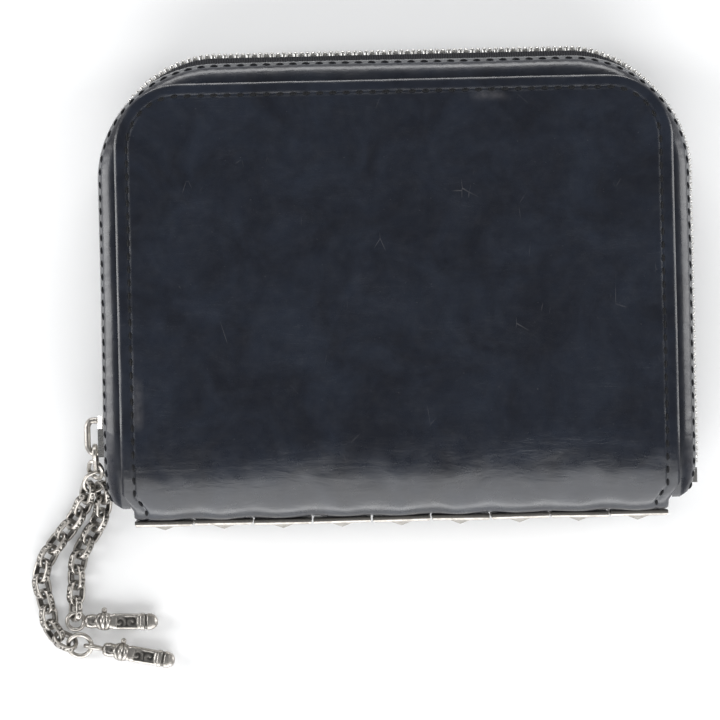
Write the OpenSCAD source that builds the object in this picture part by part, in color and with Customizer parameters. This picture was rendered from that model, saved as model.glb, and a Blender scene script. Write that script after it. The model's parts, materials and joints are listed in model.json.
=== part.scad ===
// Compact zip-around chain wallet, closed and lying on its back cover.
// X runs along the spine, +Y points away from the spine, +Z through the thickness.
// The origin is at the middle of the back cover's outer face.

/* [Body] */
// Width over the side bands, along the spine
body_w = 120; // [100:1:144]
// Depth from the spine to the zip edge
body_d = 93; // [78:1:112]
// Thickness over both covers
body_t = 26; // [25:0.5:32]
// Radius of the two rounded corners, at the zip
corner_r = 24; // [18:1:28]

/* [Leather] */
// Thickness of the cover and spine leather
cover_t = 1.6; // [1.2:0.1:2]
// Thickness of the side bands
band_t = 1.2; // [0.8:0.1:1.4]
// Set-in of the covers from the zip edge, at the sides
cover_inset = 3.7; // [3:0.1:5]
// Set-in of the covers from the zip edge, opposite the spine
cover_inset_top = 4.9; // [4:0.1:6]
// Corner radius of the covers
cover_r = 11; // [6:1:14]
// Width of the seam where a band is sewn under its cover
seam_w = 5.5; // [4:0.5:7]
// Radius of the roll between a cover and the spine
roll_r = 6.5; // [5:0.5:6.5]
// Depth of the rolled leather, from the spine's face to the flat cover
roll_d = 15; // [13:0.5:18]

/* [Pockets] */
// Thickness of a pocket leaf
leaf_t = 0.75; // [0.5:0.05:0.8]
// Thickness of the lining
lining_t = 0.65; // [0.4:0.05:0.8]
// Number of card pockets on each side
pocket_count = 3; // [1:1:3]
// Width of the card pockets
pocket_w = 98; // [90:1:98]
// Step from one card pocket's mouth to the next
pocket_step = 11; // [6:1:14]
// Depth of the deepest card pocket
pocket_d = 62; // [56:1:64]

/* [Coin pouch] */
// Width of the coin pouch
pouch_w = 94; // [80:1:96]
// Depth of the coin pouch
pouch_d = 70; // [60:1:74]
// Free space inside the coin pouch, through the thickness
pouch_space = 4.8; // [4.4:0.1:5]
// Thickness of a pouch wall
pouch_wall = 0.9; // [0.6:0.1:1]

/* [Main zip] */
// Distance from one tooth to the next on one tape
tooth_pitch = 2.4; // [2.2:0.1:3]
// Width of a tooth along the zip
tooth_w = 1.05; // [0.8:0.05:1.05]
// Thickness of a tooth, through the tape
tooth_t = 2.4; // [2:0.1:2.6]
// Thickness of the tape
tape_t = 0.6; // [0.4:0.1:0.7]
// Place of the slider's middle, from the spine
slider_from_spine = 17.3; // [15:0.1:20]
// Length of the slider
slider_l = 8.4; // [7:0.1:9]

/* [Spine plates] */
// Number of plates
plate_count = 9; // [5:1:11]
// Distance from one plate to the next
plate_pitch = 12.06; // [9:0.01:13]
// Gap between two plates
plate_gap = 0.4; // [0.2:0.1:1]
// Height of a plate, through the thickness of the wallet
plate_h = 13; // [10:0.5:13]
// Thickness of a plate
plate_t = 1.1; // [0.8:0.1:1.6]
// Width of the pyramid stud on a plate
stud_w = 5; // [3:0.5:8]
// Height of the pyramid stud
stud_h = 1; // [0.5:0.1:1.5]

/* [Chain] */
// Length of a chain link
link_l = 5.6; // [5.4:0.1:5.8]
// Width of a chain link
link_w = 4.4; // [4.2:0.1:4.6]
// Thickness of a link's bar, across its opening
bar_t = 0.9; // [0.8:0.05:0.95]
// Width of a link's bar, along its hole
bar_w = 1.35; // [1.2:0.05:1.4]
// Distance from one link's bearing point to the next
link_pitch = 3.28; // [3.2:0.01:3.3]
// Links in the outer strand
outer_links = 12; // [12:1:12]
// Links in the inner strand
inner_links = 9; // [9:1:9]
// Length of a charm, from its eye to its tip
charm_l = 17; // [15:0.5:18]

/* [Hidden] */

$fn = 48;
eps = 0.01;
layer_gap = 0.05;               // air between two layers of leather
part_gap = 0.1;                 // air round a moving or riveted piece

leather = [0.13, 0.15, 0.2];
inside_leather = [0.1, 0.1, 0.12];
cloth = [0.09, 0.09, 0.1];
silver = [0.72, 0.71, 0.69];

half_w = body_w / 2;
spine_y = -body_d / 2;
top_y = body_d / 2;
mid_z = body_t / 2;
corner_x = half_w - corner_r;   // middle of a rounded corner
corner_y = top_y - corner_r;
fold_y = spine_y + roll_d;      // where the flat cover starts

// The band bulges from under the cover out to the zip.
band_foot_z = cover_t + layer_gap;
zip_window = 4.6;               // half the width of zip left bare between the bands
band_edge_z = mid_z - zip_window;
band_rise = band_edge_z - band_foot_z;
band_r = (cover_inset * cover_inset + band_rise * band_rise) / (2 * cover_inset);
bevel_y = spine_y + 6.9;        // bevel of the two corners beside the spine
bevel_a = 31.7;

// The zip stands nearly flush with the bands.
tooth_out = 0.35;               // how far a tooth stands past the band
tape_u = tooth_out - tooth_t / 2;
tooth_mesh = 0.9;               // how far a tooth reaches past the middle of the zip
tooth_reach = 2.9;              // how far a tooth's legs hold the tape
tooth_neck = 1;
tape_sewn = 5;                  // height of tape sewn inside the band
zip_r = corner_r + tape_u;
slider_y = spine_y + slider_from_spine;
zip_left_y = slider_y + 0.7;    // the rows start inside the slider
zip_right_y = spine_y + 9.5;
left_run = corner_y - zip_left_y;
bend_run = zip_r * PI / 2;
top_run = 2 * corner_x;
right_run = corner_y - zip_right_y;
zip_run = left_run + top_run + right_run + 2 * bend_run;

// Layers inside, counted from the back.
lining_z = cover_t + layer_gap;
lining_inset = cover_inset + seam_w + 0.4;
pocket_z = lining_z + lining_t + 2 * layer_gap;
leaf_step = leaf_t + 2 * layer_gap;
pocket_low_y = spine_y + 10.5;
notch_r = 9;

board_t = 0.8;
board_y = spine_y + cover_t + part_gap;
pouch_low_y = spine_y + 6.5;
pouch_back_z = mid_z - pouch_space / 2 - pouch_wall;
pouch_seam = 1;                 // thickness of the gusset
tongue_t = 1.2;
small_pitch = 1.9;              // teeth of the pouch's zip
small_tooth_w = 0.85;
small_tape_w = 1;
small_zip_y = pouch_low_y + pouch_d - 0.6;
pouch_slider_l = 6;
pouch_slider_x = 9 - pouch_w / 2;
pouch_pin_y = small_zip_y + 2.7;

rivet_r = 0.8;
rivet_hole_r = rivet_r + part_gap;
rivet_z = 4;                    // from the middle of the spine
washer_r = 1.8;
washer_t = 0.6;

// The slider, measured outwards from the zip edge.
slider_half_w = 3.7;
slider_plate_t = 0.9;
slider_out = tooth_out + part_gap;
slider_in = tape_u - tooth_t / 2 - part_gap;
bridge_r = 0.62;
bridge_reach = 2.35;            // from the slider's face to the middle of the bridge's bar
bridge_l = 6.6;
bridge_x = -half_w - slider_out - slider_plate_t - bridge_reach;

// The pull hangs from the bridge's near leg. Each point is where one piece bears on the next.
bridge_leg_y = slider_y - bridge_l / 2;
pull_x = -half_w - slider_out - slider_plate_t - 0.87;
pull_top = [pull_x, bridge_leg_y + 0.48, mid_z + 0.48];
pull_low = [pull_x, bridge_leg_y - 2.6, mid_z - 3.2];
swivel_low = [pull_x - 0.5, bridge_leg_y - 4.6, mid_z - 5.9];
pull_roll = 90;
swivel_roll = 22;
split_roll = -20;
pull_w = 3.9;
pull_bar = 0.75;
pull_deep = 1;
pull_slack = 0.6;
split_ring_r = 2.1;             // inside radius
split_bearing_r = 1.85;         // from its middle to where the swivel link bears on it
strand_bearing_r = 1.65;        // and to where the strands do
split_wire_r = 0.4;
split_drop = [0, -0.8, -0.6];   // direction in which the split ring hangs
split_middle = swivel_low + split_bearing_r * split_drop;
strand_a = 40;                  // where the strands bear on the split ring, below its middle
outer_start = split_middle + strand_bearing_r * (sin(strand_a) * split_drop - [cos(strand_a), 0, 0]);
inner_start = split_middle + strand_bearing_r * (sin(strand_a) * split_drop + [cos(strand_a), 0, 0]);
rest_z = 1.95;                  // height of a link's middle when it lies on its rims

// Each strand lies on the table along its own route, measured from below the split ring.
outer_steps = [
    [-2.48, -4.42, 3.1], [-4.48, -7.82, rest_z], [-6.88, -10.62, rest_z], [-9.28, -13.42, rest_z],
    [-11.18, -16.62, rest_z], [-12.08, -19.82, rest_z], [-11.48, -22.92, rest_z], [-10.68, -25.82, rest_z],
    [-10.68, -28.82, rest_z], [-9.28, -31.72, rest_z], [-6.58, -33.52, rest_z], [-1.28, -34.32, rest_z]
];
inner_steps = [
    [1.52, -4.62, 3.2], [0.82, -7.82, rest_z], [-1.18, -10.72, rest_z], [-3.08, -13.52, rest_z],
    [-4.48, -16.52, rest_z], [-4.68, -19.72, rest_z], [-4.48, -22.92, rest_z], [-5.18, -25.92, rest_z + 0.25],
    [-4.58, -30.42, rest_z + 0.6]
];
below_ring = [split_middle.x, split_middle.y, 0];
outer_route = concat([outer_start], [for (step = outer_steps) below_ring + step]);
inner_route = concat([inner_start], [for (step = inner_steps) below_ring + step]);
link_roll = 45;
jump_ring_r = 1.9;
jump_wire_r = 0.5;
outer_ends = [50, -45];         // rolls of each strand's first and last link
inner_ends = [52, 62];
eye_r = 1.3;
eye_wire_r = 0.45;
charm_z = 2.3;

// Point at distance s along a route, counted from its point number i.
function along(route, s, i = 0) =
    let(step = norm(route[i + 1] - route[i]))
    s <= step || i + 2 >= len(route)
        ? route[i] + (route[i + 1] - route[i]) * s / step
        : along(route, s - step, i + 1);

outer_end = along(outer_route, outer_links * link_pitch);
inner_end = along(inner_route, inner_links * link_pitch);
jump_heading = -8;
outer_charm_a = -11;            // headings of the charms
inner_charm_a = -1.5;
inner_eye_a = -90;              // where the last inner link bears on its charm's eye
bearing_slack = 0.3;
jump_turn = [cos(jump_heading), sin(jump_heading), 0];
jump_middle = outer_end + (jump_ring_r - bearing_slack) * jump_turn;
outer_eye = outer_end + (2 * jump_ring_r - 2 * bearing_slack + eye_r) * jump_turn;
inner_eye = inner_end + (eye_r - bearing_slack) * [cos(inner_eye_a), sin(inner_eye_a), 0];

// Place and outward direction at distance s along the zip, from its near left end.
function zip_at(s) =
    s < left_run ? [-half_w - tape_u, zip_left_y + s, 180]
    : s < left_run + bend_run ? zip_bend(-corner_x, 180 - (s - left_run) / bend_run * 90)
    : s < left_run + bend_run + top_run
        ? [s - left_run - bend_run - corner_x, top_y + tape_u, 90]
    : s < left_run + 2 * bend_run + top_run
        ? zip_bend(corner_x, 90 - (s - left_run - bend_run - top_run) / bend_run * 90)
    : [half_w + tape_u, corner_y - (s - left_run - 2 * bend_run - top_run), 0];
function zip_bend(x, a) = [x + zip_r * cos(a), corner_y + zip_r * sin(a), a];

// ---- helpers ----

// Outline with two rounded corners, set in from the zip edge.
module outline(inset, inset_top, r, low_y) {
    w = half_w - inset;
    y = top_y - inset_top;
    translate([-w, low_y]) square([2 * w, y - r - low_y]);
    translate([r - w, low_y]) square([2 * (w - r), y - low_y]);
    for (s = [-1, 1]) translate([s * (w - r), y - r]) circle(r);
}

// Sweeps a profile round the left, far and right sides. Profile x is measured outwards
// from the zip edge, and profile y is height.
module around(low_y) {
    for (s = [0, 1]) mirror([s, 0, 0]) {
        translate([half_w, corner_y, 0]) rotate([90, 0, 0])
            linear_extrude(corner_y - low_y) children();
        translate([corner_x, corner_y, 0]) rotate_extrude(angle = 90)
            translate([corner_r, 0]) children();
    }
    translate([-corner_x, top_y, 0]) rotate([0, 0, 90]) rotate([90, 0, 0])
        linear_extrude(2 * corner_x) children();
}

// Cuts away the two corners beside the spine along the bevel, and room for the spine leather.
module bevelled() {
    difference() {
        children();
        translate([cover_inset - half_w - part_gap, spine_y, -1])
            cube([body_w - 2 * (cover_inset - part_gap), roll_r + part_gap, body_t + 2]);
        for (s = [0, 1]) mirror([s, 0, 0])
            translate([half_w - 0.2, bevel_y, -1]) rotate([0, 0, bevel_a])
                translate([-body_w / 4, -body_w / 4, 0])
                    cube([body_w / 2, body_w / 4, body_t + 2]);
    }
}

// Turns a piece of the back half into its mate in the front half.
module to_front() {
    translate([0, 0, body_t]) mirror([0, 0, 1]) children();
}

// Lays a profile drawn in Y and Z along X.
module along_x(width) {
    translate([-width / 2, 0, 0]) rotate([90, 0, 90]) linear_extrude(width) children();
}

// Rectangle in Y and Z whose two corners on the spine side are rounded.
module rolled(low_y, high_y, low_z, high_z, r) {
    translate([low_y + r, low_z]) square([high_y - low_y - r, high_z - low_z]);
    translate([low_y, low_z + r]) square([high_y - low_y, high_z - low_z - 2 * r]);
    for (z = [low_z + r, high_z - r]) translate([low_y + r, z]) circle(r);
}

// Points a piece drawn along X from p to q, rolled about that line.
module aim(p, q, roll) {
    d = q - p;
    translate((p + q) / 2)
        rotate([roll, -asin(d.z / norm(d)), atan2(d.y, d.x)]) children();
}

// Oval link of flat bar with chamfered edges, long side along X.
module oval_link(length, width, thick, deep) {
    side = (width - thick) / 2;
    reach = (length - width) / 2;
    chamfer = 0.25;
    module bar() {
        x = thick / 2;
        y = deep / 2;
        polygon([
            [x, y - chamfer], [x - chamfer, y], [chamfer - x, y], [-x, y - chamfer],
            [-x, chamfer - y], [chamfer - x, -y], [x - chamfer, -y], [x, chamfer - y]
        ]);
    }
    for (s = [0, 1]) mirror([s, 0, 0]) {
        translate([reach, 0, 0]) rotate([0, 0, -90])
            rotate_extrude(angle = 180) translate([side, 0]) bar();
        translate([0, side * (1 - 2 * s), 0]) rotate([0, 0, 90]) rotate([90, 0, 0])
            translate([0, 0, -reach]) linear_extrude(2 * reach) bar();
    }
}

module round_ring(inside_r, wire_r) {
    rotate_extrude() translate([inside_r + wire_r, 0]) circle(wire_r, $fn = 24);
}

// ---- covers, bands and spine ----

module back_cover() {
    color(leather) linear_extrude(cover_t)
        outline(cover_inset, cover_inset_top, cover_r, fold_y);
}

module front_cover() { to_front() back_cover(); }

module band_profile() {
    intersection() {
        difference() {
            translate([-band_r, band_edge_z]) circle(band_r, $fn = 96);
            translate([-band_r, band_edge_z]) circle(band_r - band_t, $fn = 96);
        }
        translate([-band_r + 1, band_foot_z]) square([band_r, band_rise]);
    }
    translate([-cover_inset - seam_w, band_foot_z]) square([seam_w + 0.6, band_t]);
}

module back_side_band() {
    color(leather) bevelled() around(spine_y + 2.2) band_profile();
}

module front_side_band() { to_front() back_side_band(); }

module spine_leather() {
    front_w = body_w - 2 * cover_inset;
    plates_w = plate_count * plate_pitch;
    color(leather) difference() {
        intersection() {
            along_x(front_w) rolled(spine_y, fold_y, 0, body_t, roll_r);
            linear_extrude(body_t) polygon([
                [-front_w / 2, fold_y], [-front_w / 2, bevel_y - 1.5], [-plates_w / 2, spine_y + 2.2],
                [-plates_w / 2, spine_y], [plates_w / 2, spine_y], [plates_w / 2, spine_y + 2.2],
                [front_w / 2, bevel_y - 1.5], [front_w / 2, fold_y]
            ]);
        }
        along_x(body_w)
            rolled(spine_y + cover_t, fold_y + 1, cover_t, body_t - cover_t, roll_r - cover_t);
        at_rivets() rivet_hole();
    }
}

module spine_board() {
    width = plate_count * plate_pitch - 2;
    color(cloth) difference() {
        translate([-width / 2, board_y, mid_z - plate_h / 2]) cube([width, board_t, plate_h]);
        at_rivets() rivet_hole();
    }
}

// ---- spine plates ----

module at_plates() {
    for (i = [0:plate_count - 1]) translate([(i - (plate_count - 1) / 2) * plate_pitch, 0, 0])
        children();
}

// Two rivets hold each plate, above and below its stud.
module at_rivets() {
    at_plates() for (s = [-1, 1]) translate([0, spine_y, mid_z + s * rivet_z])
        rotate([-90, 0, 0]) children();
}

module rivet_hole() { translate([0, 0, -1]) cylinder(h = cover_t + board_t + 2, r = rivet_hole_r); }

module plate_rivets() {
    washer_z = cover_t + part_gap + board_t + layer_gap;
    color(silver) at_rivets() {
        cylinder(h = washer_z + washer_t / 2, r = rivet_r);
        translate([0, 0, washer_z]) cylinder(h = washer_t, r = washer_r);
    }
}

// Four-sided pyramid made by crossing two ridges, rising along -Y.
module pyramid_stud() {
    intersection_for (turn = [0, 90]) rotate([0, turn, 0])
        translate([0, 0, -stud_w / 2]) linear_extrude(stud_w)
            polygon([[-stud_w / 2, plate_t / 2], [-stud_w / 2, 0], [0, -stud_h], [stud_w / 2, 0],
                [stud_w / 2, plate_t / 2]]);
}

module spine_plates() {
    width = plate_pitch - plate_gap;
    color(silver) at_plates() {
        translate([-width / 2, spine_y - plate_t, mid_z - plate_h / 2]) cube([width, plate_t, plate_h]);
        translate([0, spine_y - plate_t, mid_z]) pyramid_stud();
    }
}

// ---- main zip ----

// The tape follows the inside of the band, then steps out to the teeth.
module tape_profile() {
    outer_r = band_r - band_t - part_gap;
    step_u = outer_r - band_r;
    step_z = band_edge_z + 0.8;
    edge_z = mid_z - tooth_neck - layer_gap;
    t = tape_t / 2;
    intersection() {
        difference() {
            translate([-band_r, band_edge_z]) circle(outer_r, $fn = 96);
            translate([-band_r, band_edge_z]) circle(outer_r - tape_t, $fn = 96);
        }
        translate([-band_r + 1, band_edge_z - tape_sewn]) square([band_r, tape_sewn]);
    }
    polygon([
        [step_u - tape_t, band_edge_z], [step_u, band_edge_z], [tape_u + t, step_z],
        [tape_u + t, edge_z], [tape_u - t, edge_z], [tape_u - t, step_z]
    ]);
}

module back_zip_tape() { color(cloth) around(bevel_y + 0.6) tape_profile(); }

module front_zip_tape() { to_front() back_zip_tape(); }

// A tooth grips the tape's edge between its two legs and meshes past the middle.
module tooth() {
    grip = tape_t / 2 + part_gap;
    t = tooth_t / 2;
    translate([0, tooth_w / 2, 0]) rotate([90, 0, 0]) linear_extrude(tooth_w) polygon([
        [-t, mid_z - tooth_reach], [-grip, mid_z - tooth_reach], [-grip, mid_z - tooth_neck],
        [grip, mid_z - tooth_neck], [grip, mid_z - tooth_reach], [t, mid_z - tooth_reach],
        [t, mid_z + tooth_mesh], [-t, mid_z + tooth_mesh]
    ]);
}

module tooth_row(offset_s) {
    for (s = [offset_s:tooth_pitch:zip_run]) {
        place = zip_at(s);
        translate([place[0], place[1], 0]) rotate([0, 0, place[2]]) tooth();
    }
}

module back_zip_teeth() { color(silver) tooth_row(tooth_pitch / 4); }

module front_zip_teeth() { color(silver) to_front() tooth_row(tooth_pitch * 3 / 4); }

// H-shaped stop that clamps both tapes below the last tooth on the right.
module zip_bottom_stop() {
    stop_l = 3;
    t = tape_t / 2 + layer_gap;
    color(silver) translate([half_w + tape_u, zip_right_y - 1.2, mid_z])
        rotate([90, 0, 0]) linear_extrude(stop_l) {
            for (s = [-1, 1]) translate([s * (t + 0.45) - 0.45, -2.6]) square([0.9, 5.2]);
            translate([-t - 0.1, -0.7]) square([2 * t + 0.2, 1.4]);
        }
}

// Slider drawn with its travel along X and its outside facing +Z, at the height of the tape.
module slider_shell() {
    l = slider_l / 2;
    taper = 1.6;                // the plates narrow towards the closed end
    rim_w = slider_half_w - tooth_reach - part_gap;
    module plate_outline() {
        polygon([
            [-l, -slider_half_w], [taper, -slider_half_w], [l, taper - slider_half_w],
            [l, slider_half_w - taper], [taper, slider_half_w], [-l, slider_half_w]
        ]);
    }
    module rim_outline() {
        for (s = [-1, 1]) translate([-l, s * (slider_half_w - rim_w / 2) - rim_w / 2])
            square([l + taper, rim_w]);
    }
    translate([0, 0, slider_out - tape_u]) linear_extrude(slider_plate_t) plate_outline();
    translate([0, 0, slider_in - tape_u - slider_plate_t]) linear_extrude(slider_plate_t) plate_outline();
    rim_h = (tooth_t - tape_t) / 2 - part_gap;
    translate([0, 0, tape_t / 2 + 2 * part_gap]) linear_extrude(rim_h + part_gap) rim_outline();
    translate([0, 0, -tape_t / 2 - 3 * part_gap - rim_h]) linear_extrude(rim_h + part_gap) rim_outline();
    translate([-l + 0.4, -0.8, slider_in - tape_u - eps]) cube([2.2, 1.6, slider_out - slider_in + 2 * eps]);
}

// Puts a slider drawn flat on to the left run of the zip.
module on_left_run() {
    translate([-half_w - tape_u, slider_y, mid_z]) rotate([-90, 0, 0]) rotate([0, -90, 0]) children();
}

module zip_slider() {
    color(silver) on_left_run() slider_shell();
}

// C-shaped wire that stands on the slider and carries the pull.
module slider_bridge() {
    face = slider_out + slider_plate_t - tape_u;
    leg = bridge_l / 2;
    color(silver) on_left_run() {
        for (s = [-1, 1]) translate([s * leg, 0, face]) cylinder(h = bridge_reach, r = bridge_r);
        translate([-leg, 0, face + bridge_reach]) rotate([0, 90, 0]) cylinder(h = bridge_l, r = bridge_r);
        for (s = [-1, 1]) translate([s * leg, 0, face + bridge_reach]) sphere(bridge_r);
    }
}

// ---- lining and pockets ----

module back_lining() {
    color(inside_leather) translate([0, 0, lining_z]) linear_extrude(lining_t)
        outline(lining_inset, lining_inset, corner_r - lining_inset, pocket_low_y - 1);
}

module front_lining() { to_front() back_lining(); }

// Stepped leaves sewn to the lining. The nearest leaf has a thumb notch.
module card_pocket(i) {
    mouth_y = pocket_low_y + pocket_d - (i - 1) * pocket_step;
    color(inside_leather) translate([0, 0, pocket_z + (i - 1) * leaf_step]) linear_extrude(leaf_t)
        difference() {
            translate([-pocket_w / 2, pocket_low_y]) square([pocket_w, mouth_y - pocket_low_y]);
            if (i == pocket_count) translate([0, mouth_y + 2]) circle(notch_r);
        }
}

// ---- coin pouch ----

module pouch_tongue() {
    from_y = board_y + board_t;
    color(inside_leather) translate([-pouch_w / 2 + 1, from_y, mid_z - tongue_t / 2])
        cube([pouch_w - 2, pouch_low_y - from_y, tongue_t]);
}

module pouch_back_wall() {
    color(inside_leather) translate([-pouch_w / 2, pouch_low_y, pouch_back_z])
        cube([pouch_w, pouch_d, pouch_wall]);
}

module pouch_front_wall() { to_front() pouch_back_wall(); }

module pouch_gusset() {
    color(inside_leather) translate([0, pouch_low_y, pouch_back_z + pouch_wall])
        linear_extrude(pouch_space) difference() {
            translate([-pouch_w / 2, 0]) square([pouch_w, pouch_d - 1.5]);
            translate([pouch_seam - pouch_w / 2, pouch_seam]) square([pouch_w - 2 * pouch_seam, pouch_d]);
        }
}

module pouch_zip_tape() {
    t = 0.5;
    color(cloth) for (z = [-pouch_space / 2, pouch_space / 2 - small_tape_w])
        translate([-pouch_w / 2 + 1, small_zip_y - t / 2, mid_z + z]) cube([pouch_w - 2, t, small_tape_w]);
}

// Two rows of teeth that mesh, from inside the slider to the right end.
module pouch_zip_teeth() {
    run = pouch_w / 2 - 4 - pouch_slider_x;
    thick = 1.3;
    mesh = 0.4;
    high = pouch_space / 2 - small_tape_w - layer_gap + mesh;
    color(silver) for (i = [0:2 * floor(run / small_pitch)])
        translate([pouch_slider_x + i * small_pitch / 2, small_zip_y - thick / 2,
            i % 2 == 0 ? mid_z - high + mesh : mid_z - mesh])
            cube([small_tooth_w, thick, high]);
}

// Two plates joined by a wedge, with two lugs and a pin for the puller.
module pouch_slider() {
    l = pouch_slider_l;
    plate_y = 0.75;
    plate_t = 0.7;
    w = 4;
    color(silver) translate([pouch_slider_x, small_zip_y, mid_z]) {
        for (y = [plate_y, -plate_y - plate_t]) translate([-l / 2, y, -w / 2]) cube([l, plate_t, w]);
        translate([-l / 2, -plate_y - eps, -0.5]) cube([1.4, 2 * (plate_y + eps), 1]);
        for (z = [0.55, -1.15]) translate([-1.2, plate_y + plate_t - eps, z])
            cube([2.4, pouch_pin_y - small_zip_y - plate_y, 0.6]);
        translate([0, pouch_pin_y - small_zip_y, -0.6]) cylinder(h = 1.2, r = 0.3);
    }
}

module pouch_puller() {
    tail = 8;
    color(silver) translate([pouch_slider_x, pouch_pin_y, mid_z - 0.4]) linear_extrude(0.8)
        difference() {
            union() {
                circle(1);
                translate([0, -0.9]) square([tail, 1.8]);
                translate([tail, 0]) circle(1.5);
            }
            circle(0.4);
            translate([tail, 0]) circle(0.7);
        }
}

// ---- pull, strands and charms ----

// Link that hangs between two bearing points.
module hung_link(p, q, roll) {
    color(silver) aim(p, q, roll)
        oval_link(norm(q - p) + 2 * pull_bar + pull_slack, pull_w, pull_bar, pull_deep);
}

module pull_link() { hung_link(pull_top, pull_low, pull_roll); }

module swivel_link() { hung_link(pull_low, swivel_low, swivel_roll); }

module split_ring() {
    color(silver) aim(swivel_low, swivel_low + 2 * split_bearing_r * split_drop, split_roll)
        round_ring(split_ring_r, split_wire_r);
}

// Links roll to one side and the other in turn, so that each stands across the one before.
module strand_link(route, i, count, end_rolls) {
    p = along(route, (i - 1) * link_pitch);
    q = along(route, i * link_pitch);
    roll = i == 1 ? end_rolls[0] : i == count ? end_rolls[1] : i % 2 == 1 ? link_roll : -link_roll;
    color(silver) aim(p, q, roll) oval_link(link_l, link_w, bar_t, bar_w);
}

module jump_ring() {
    color(silver) aim(outer_end, 2 * jump_middle - outer_end, 20) round_ring(jump_ring_r, jump_wire_r);
}

// Cast charm: eye, cap, fluted bead, collar and a blunt bar with three bands.
module charm(eye_roll) {
    cap_x = eye_r + 2 * eye_wire_r - 0.3;
    bead_x = cap_x + 3.2;
    bar_x = bead_x + 1.6;
    tip_r = 1.65;
    rotate([eye_roll, 0, 0]) round_ring(eye_r, eye_wire_r);
    translate([cap_x, 0, 0]) rotate([0, 90, 0]) cylinder(h = 2, r = 1.15);
    for (a = [18:72:359]) rotate([a, 0, 0]) translate([bead_x, 0, 0.95]) sphere(1.25);
    translate([bar_x - 1, 0, 0]) rotate([0, 90, 0]) cylinder(h = 1.5, r = 1.45);
    translate([bar_x, -tip_r, -1.1]) cube([charm_l - bar_x - tip_r, 2 * tip_r, 2.2]);
    translate([charm_l - tip_r, 0, -1.1]) cylinder(h = 2.2, r = tip_r);
    for (x = [charm_l - 5.6, charm_l - 4.2, charm_l - 2.8])
        translate([x, -tip_r - 0.15, -1.25]) cube([0.7, 2 * tip_r + 0.3, 2.5]);
}

module charm_at(eye, a, eye_roll) {
    color(silver) translate([eye.x, eye.y, charm_z]) rotate([0, 0, a]) charm(eye_roll);
}

module outer_charm() { charm_at(outer_eye, outer_charm_a, 90); }

module inner_charm() { charm_at(inner_eye, inner_charm_a, 0); }

// ---- nodes ----

back_cover();
back_side_band();
back_zip_tape();
back_zip_teeth();
zip_bottom_stop();
back_lining();
for (i = [1:pocket_count])
    card_pocket(i);
spine_leather();
spine_board();
spine_plates();
plate_rivets();
pouch_tongue();
pouch_back_wall();
pouch_front_wall();
pouch_gusset();
pouch_zip_tape();
pouch_zip_teeth();
pouch_slider();
pouch_puller();
front_cover();
front_side_band();
front_zip_tape();
front_zip_teeth();
front_lining();
for (i = [1:pocket_count])
    to_front() card_pocket(i);
zip_slider();
slider_bridge();
pull_link();
swivel_link();
split_ring();
for (i = [1:outer_links])
    strand_link(outer_route, i, outer_links, outer_ends);
jump_ring();
outer_charm();
for (i = [1:inner_links])
    strand_link(inner_route, i, inner_links, inner_ends);
inner_charm();
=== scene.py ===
"""Chain wallet: a closed zip-around wallet with a plated spine and a two-strand chain pull.

Lengths here are in millimetres, and become metres where a mesh is made. Sizes and places come
from the frame's boxes and joints.
"""

import json
import math
import random

import bmesh
import bpy
import numpy as np
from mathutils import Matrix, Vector


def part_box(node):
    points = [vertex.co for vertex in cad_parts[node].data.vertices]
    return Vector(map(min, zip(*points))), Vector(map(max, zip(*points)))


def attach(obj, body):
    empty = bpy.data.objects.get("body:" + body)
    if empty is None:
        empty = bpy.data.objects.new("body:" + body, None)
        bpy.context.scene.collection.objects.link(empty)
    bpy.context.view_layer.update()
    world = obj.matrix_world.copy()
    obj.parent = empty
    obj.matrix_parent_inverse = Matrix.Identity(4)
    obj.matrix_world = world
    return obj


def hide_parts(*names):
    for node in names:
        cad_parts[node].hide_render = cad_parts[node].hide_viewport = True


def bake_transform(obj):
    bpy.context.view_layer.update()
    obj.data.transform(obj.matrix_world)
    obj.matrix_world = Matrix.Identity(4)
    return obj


MM = 0.001
UP = np.array([0.0, 0.0, 1.0])
random.seed(7)

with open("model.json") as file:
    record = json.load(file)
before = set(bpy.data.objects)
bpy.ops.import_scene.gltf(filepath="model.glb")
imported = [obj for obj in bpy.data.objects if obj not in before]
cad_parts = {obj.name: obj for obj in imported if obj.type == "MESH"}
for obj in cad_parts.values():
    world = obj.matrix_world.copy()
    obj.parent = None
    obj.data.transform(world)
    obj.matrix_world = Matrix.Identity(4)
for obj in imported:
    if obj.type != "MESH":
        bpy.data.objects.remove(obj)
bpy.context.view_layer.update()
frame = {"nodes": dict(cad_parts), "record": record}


# ---- sizes, from the frame ----


def corners(node):
    """Lowest and highest corner of a CAD node, in millimetres."""
    low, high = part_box(node)
    return np.array(low) / MM, np.array(high) / MM


JOINTS = {joint["child"]: joint for joint in frame["record"]["behaviour"]["joints"]}


def bearing(body):
    """Where a body hangs on the one before it, in millimetres."""
    return np.array(JOINTS[body]["pos_m"]) / MM


cover_low, cover_high = corners("front_cover")
band_low, band_high = corners("front_side_band")
plates_low, plates_high = corners("spine_plates")
spine_low, spine_high = corners("spine_leather")

BODY_T = spine_high[2]
MID_Z = BODY_T / 2
COVER_T = BODY_T - cover_low[2]
COVER_W = cover_high[0]
COVER_FAR = cover_high[1]
COVER_R = 13.0
FOLD_Y = cover_low[1]
ROLL_EARLY = 3.0  # the hide starts to curve this far before the fold
SPINE_Y = spine_low[1]
HALF_W = band_high[0]
FAR_Y = band_high[1]
CORNER_R = 24.0
CORNER_X = HALF_W - CORNER_R
CORNER_Y = FAR_Y - CORNER_R
BAND_EDGE_Z = band_low[2]
PLATE_H = plates_high[2] - plates_low[2]
PLATES_W = plates_high[0]
PLATE_COUNT = 9
BEVEL_Y = SPINE_Y + 6.9
BEVEL_SLOPE = 0.617
STITCH_INSET = 2.5
STITCH_PITCH = 2.65


# ---- mesh helpers ----


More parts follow.
